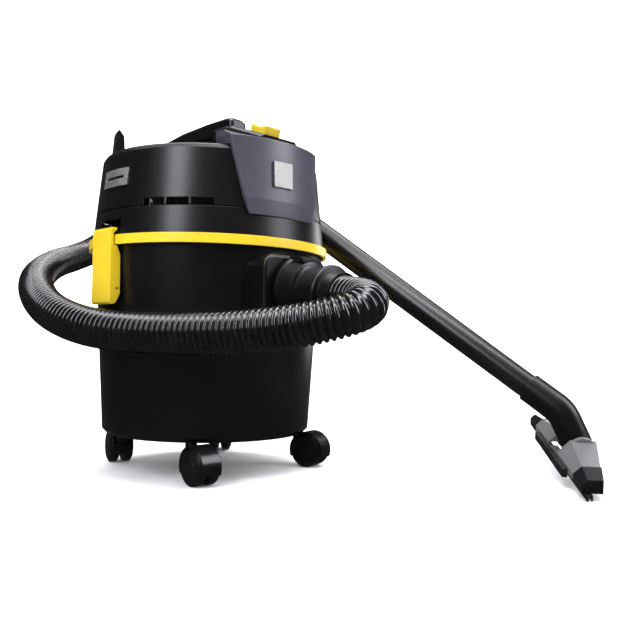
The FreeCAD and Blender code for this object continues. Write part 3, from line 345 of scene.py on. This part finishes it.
def frames_along(points):
    """A direction and a side vector at each point, carried along without twist."""
    tangents = []
    for i in range(len(points)):
        tangents.append((points[min(i + 1, len(points) - 1)] - points[max(i - 1, 0)]).normalized())
    side = tangents[0].orthogonal().normalized()
    sides = []
    for tangent in tangents:
        side = (side - tangent * side.dot(tangent)).normalized()
        sides.append(side.copy())
    return tangents, sides


def mesh_object(name, vertices, faces, material, smooth=True):
    """A new object in the scene from vertices and faces, in one material."""
    mesh = bpy.data.meshes.new(name)
    mesh.from_pydata(vertices, [], faces)
    mesh.validate()
    mesh.polygons.foreach_set("use_smooth", [smooth] * len(mesh.polygons))
    mesh.materials.append(material)
    thing = bpy.data.objects.new(name, mesh)
    SCENE.collection.objects.link(thing)
    return thing


def hose_profile(turns):
    """The hose's radius against its place in one rib: round-topped ribs with sharp grooves."""
    return HOSE_GROOVE + (HOSE_RADIUS - HOSE_GROOVE) * abs(math.cos(math.pi * turns))


def build_hose():
    """The corrugated hose, closed at both ends, in place of the plain CAD tube."""
    route = [MACHINE + Vector(p) / 1000 for p in HOSE_ROUTE]
    points, length = spline_points(route, HOSE_PITCH / RIB_STEPS)
    points = smoothed(points)
    tangents, sides = frames_along(points)
    vertices = []
    for i, (point, tangent, side) in enumerate(zip(points, tangents, sides)):
        other = tangent.cross(side)
        radius = hose_profile(i / RIB_STEPS)
        for j in range(ROUND_STEPS):
            angle = 2 * math.pi * j / ROUND_STEPS
            vertices.append(point + (side * math.cos(angle) + other * math.sin(angle)) * radius)
    faces = []
    for i in range(len(points) - 1):
        for j in range(ROUND_STEPS):
            a = i * ROUND_STEPS + j
            b = i * ROUND_STEPS + (j + 1) % ROUND_STEPS
            faces.append((a, b, b + ROUND_STEPS, a + ROUND_STEPS))
    faces.append(tuple(reversed(range(ROUND_STEPS))))
    last = (len(points) - 1) * ROUND_STEPS
    faces.append(tuple(last + j for j in range(ROUND_STEPS)))
    hose = mesh_object("hose_corrugated", vertices, faces, HOSE)
    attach(hose, "machine")
    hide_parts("hose")


build_hose()

# ---------------------------------------------------------------- nozzle bristles

NOZZLE_AT = MACHINE + Vector((0.2636, -0.3131, 0.0378))
NOZZLE_TURN = Matrix.Rotation(math.radians(38.8), 3, "Z") @ Matrix.Rotation(math.radians(-7.6), 3, "Y")
ROW_HALF = 0.1405          # half length of the row, in the nozzle's own frame
TUFT_STEP = 0.0031
TUFT_ROOT = -0.0118        # heights of the bristles' ends
TUFT_TIP = -0.0189
TUFT_RADII = (0.00055, 0.0009)    # of a tuft at its root and at its tips
RING_BRISTLES = 8          # round the tuft's middle bristle
BRISTLE_RADIUS = 0.00022
BRISTLE_TAPER = 0.55
SEED = 7


def bristle(vertices, faces, root, tip):
    """One tapered bristle with four sides and a flat tip."""
    first = len(vertices)
    for centre, r in ((root, BRISTLE_RADIUS), (tip, BRISTLE_RADIUS * BRISTLE_TAPER)):
        for dx, dy in ((1, 0), (0, 1), (-1, 0), (0, -1)):
            vertices.append(NOZZLE_AT + NOZZLE_TURN @ (centre + Vector((dx * r, dy * r, 0))))
    for k in range(4):
        faces.append((first + k, first + (k + 1) % 4, first + 4 + (k + 1) % 4, first + 4 + k))
    faces.append(tuple(first + k for k in (3, 2, 1, 0)))
    faces.append(tuple(first + 4 + k for k in range(4)))


def build_bristles():
    """Short splayed tufts along the sole in place of the plain row."""
    dice = random.Random(SEED)
    vertices, faces = [], []
    tufts = round(2 * ROW_HALF / TUFT_STEP)
    for i in range(tufts + 1):
        middle = -ROW_HALF + 2 * ROW_HALF * i / tufts
        for k in range(RING_BRISTLES + 1):
            angle = 2 * math.pi * k / RING_BRISTLES
            spread = 0.0 if k == RING_BRISTLES else 1.0
            across = Vector((math.cos(angle), math.sin(angle), 0)) * spread
            root = Vector((middle, 0, TUFT_ROOT)) + across * TUFT_RADII[0]
            splay = Vector((dice.uniform(-0.0004, 0.0004), dice.uniform(-0.00035, 0.00035), 0))
            end = Vector((middle, 0, TUFT_TIP + dice.uniform(0, 0.0012)))
            tip = end + across * TUFT_RADII[1] + splay
            bristle(vertices, faces, root, tip)
    row = mesh_object("bristle_tufts", vertices, faces, BRISTLE, smooth=False)
    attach(row, "nozzle")
    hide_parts("nozzle_bristles")


build_bristles()

# ---------------------------------------------------------------- studio

FLOOR_RADIUS = 0.9
BACKDROP_RADIUS = 4.0
BACKDROP_HEIGHT = 4.0
CORNER_RADIUS = 1.2
CORNER_STEPS = 16
SHEET_STEPS = 96           # vertices round the floor and the wall
LIT_POINT = (-0.12, 0.12, 0.25)    # what the lamps point at


def studio_material():
    """Matt white paint, faintly uneven."""
    s = Shader("studio_white")
    s.fixed(Specular_IOR_Level=0.1)
    mottle = s.noise(3.0, 4.0)
    s.set("Base Color", s.mixed(mottle, (0.84, 0.84, 0.84), (0.86, 0.86, 0.86)))
    s.set("Roughness", s.ranged(s.noise(60.0), 0.3, 0.7, 0.7, 0.8))
    return s.material


def turned_sheet(name, profile, material):
    """A sheet turned about the vertical axis from (radius, height) points."""
    vertices = []
    for radius, height in profile:
        for j in range(SHEET_STEPS):
            angle = 2 * math.pi * j / SHEET_STEPS
            vertices.append(Vector((radius * math.cos(angle), radius * math.sin(angle), height)))
    faces = []
    for i in range(len(profile) - 1):
        for j in range(SHEET_STEPS):
            a = i * SHEET_STEPS + j
            b = i * SHEET_STEPS + (j + 1) % SHEET_STEPS
            faces.append((a, a + SHEET_STEPS, b + SHEET_STEPS, b))
    return mesh_object(name, vertices, faces, material)


def build_studio():
    """A round pale floor that curves up into a wall; neither shows in reflections."""
    material = studio_material()
    flat = BACKDROP_RADIUS - CORNER_RADIUS
    wall_profile = [(FLOOR_RADIUS, 0.0), (flat, 0.0)]
    for i in range(1, CORNER_STEPS + 1):
        angle = math.pi / 2 * i / CORNER_STEPS
        wall_profile.append((flat + CORNER_RADIUS * math.sin(angle),
                             CORNER_RADIUS * (1 - math.cos(angle))))
    wall_profile.append((BACKDROP_RADIUS, BACKDROP_HEIGHT))
    floor_profile = [(0.0001, 0.0), (FLOOR_RADIUS / 2, 0.0), (FLOOR_RADIUS, 0.0)]
    for name, profile in (("studio_floor", floor_profile), ("studio_wall", wall_profile)):
        sheet = turned_sheet(name, profile, material)
        sheet.visible_glossy = False


def area_light(name, bearing, elevation, distance, size, power, colour=(1, 1, 1), target=LIT_POINT):
    """A softbox seen from its target at a bearing from the front (-Y) towards +X, in degrees."""
    across = math.cos(math.radians(elevation)) * distance
    away = Vector((across * math.sin(math.radians(bearing)), -across * math.cos(math.radians(bearing)),
                   math.sin(math.radians(elevation)) * distance))
    data = bpy.data.lights.new(name, "AREA")
    data.shape = "RECTANGLE"
    data.size, data.size_y = size
    data.energy = power
    data.color = colour
    lamp = bpy.data.objects.new(name, data)
    lamp.location = Vector(target) + away
    lamp.rotation_mode = "QUATERNION"
    lamp.rotation_quaternion = (-away).to_track_quat("-Z", "Y")
    lamp.visible_camera = False
    SCENE.collection.objects.link(lamp)


build_studio()
area_light("left_box", -71, 34, 1.7, (0.5, 1.3), 24, (0.93, 0.92, 1.0))
area_light("right_box", 36, 30, 1.9, (0.8, 1.3), 24, (0.94, 0.93, 1.0))
area_light("low_right_box", 97, 4, 1.5, (0.35, 0.5), 3)
area_light("overhead", 0, 90, 2.4, (2.2, 2.2), 58)
area_light("hose_strip", -12, 60, 1.5, (1.5, 0.20), 16, (0.95, 0.95, 1.0))
area_light("backdrop_right", -40, 35, 3.0, (2.0, 2.0), 150, target=(2.8, 2.4, 1.1))
area_light("backdrop_left", -40, 35, 3.0, (2.0, 2.0), 120, target=(1.6, 3.2, 1.1))

world = bpy.data.worlds.new("studio_air")
world.use_nodes = True
world.node_tree.nodes["Background"].inputs["Color"].default_value = (0.90, 0.90, 1.0, 1)
world.node_tree.nodes["Background"].inputs["Strength"].default_value = 0.06
SCENE.world = world
SCENE.view_settings.view_transform = "Standard"

# ---------------------------------------------------------------- camera


CAMERA_LENS = 41.0                             # on a 36 mm sensor
CAMERA_AT = Vector((0, -0.877, 0.152))         # in its own ground axes, from the tank's axis
CAMERA_ANGLES = (8.657, 1.440, 0.993)          # turn right, rise and roll, in degrees
CAMERA_SWING = -36.7                           # of its ground axes about the tank's axis


def build_camera():
    """A camera low in front of the machine's left, looking slightly up."""
    data = bpy.data.cameras.new("camera")
    data.sensor_width = 36
    data.lens = CAMERA_LENS
    data.clip_start, data.clip_end = 0.02, 30
    turn, rise, roll = (math.radians(angle) for angle in CAMERA_ANGLES)
    swing = math.radians(CAMERA_SWING)

    def to_row(v):
        """From the camera's own ground axes to the row frame, about the tank's axis."""
        return Vector((v.x * math.cos(swing) - v.y * math.sin(swing),
                       v.x * math.sin(swing) + v.y * math.cos(swing), v.z))

    forward = Vector((math.sin(turn) * math.cos(rise), math.cos(turn) * math.cos(rise),
                      math.sin(rise)))
    right = Vector((math.cos(turn), -math.sin(turn), 0))
    up = right.cross(forward)
    right, up = (right * math.cos(roll) + up * math.sin(roll),
                 up * math.cos(roll) - right * math.sin(roll))
    at = MACHINE + to_row(CAMERA_AT)
    right, up, forward = to_row(right), to_row(up), to_row(forward)
    camera = bpy.data.objects.new("camera", data)
    camera.matrix_world = Matrix(((right.x, up.x, -forward.x, at.x),
                                  (right.y, up.y, -forward.y, at.y),
                                  (right.z, up.z, -forward.z, at.z),
                                  (0, 0, 0, 1)))
    SCENE.collection.objects.link(camera)
    SCENE.camera = camera


build_camera()
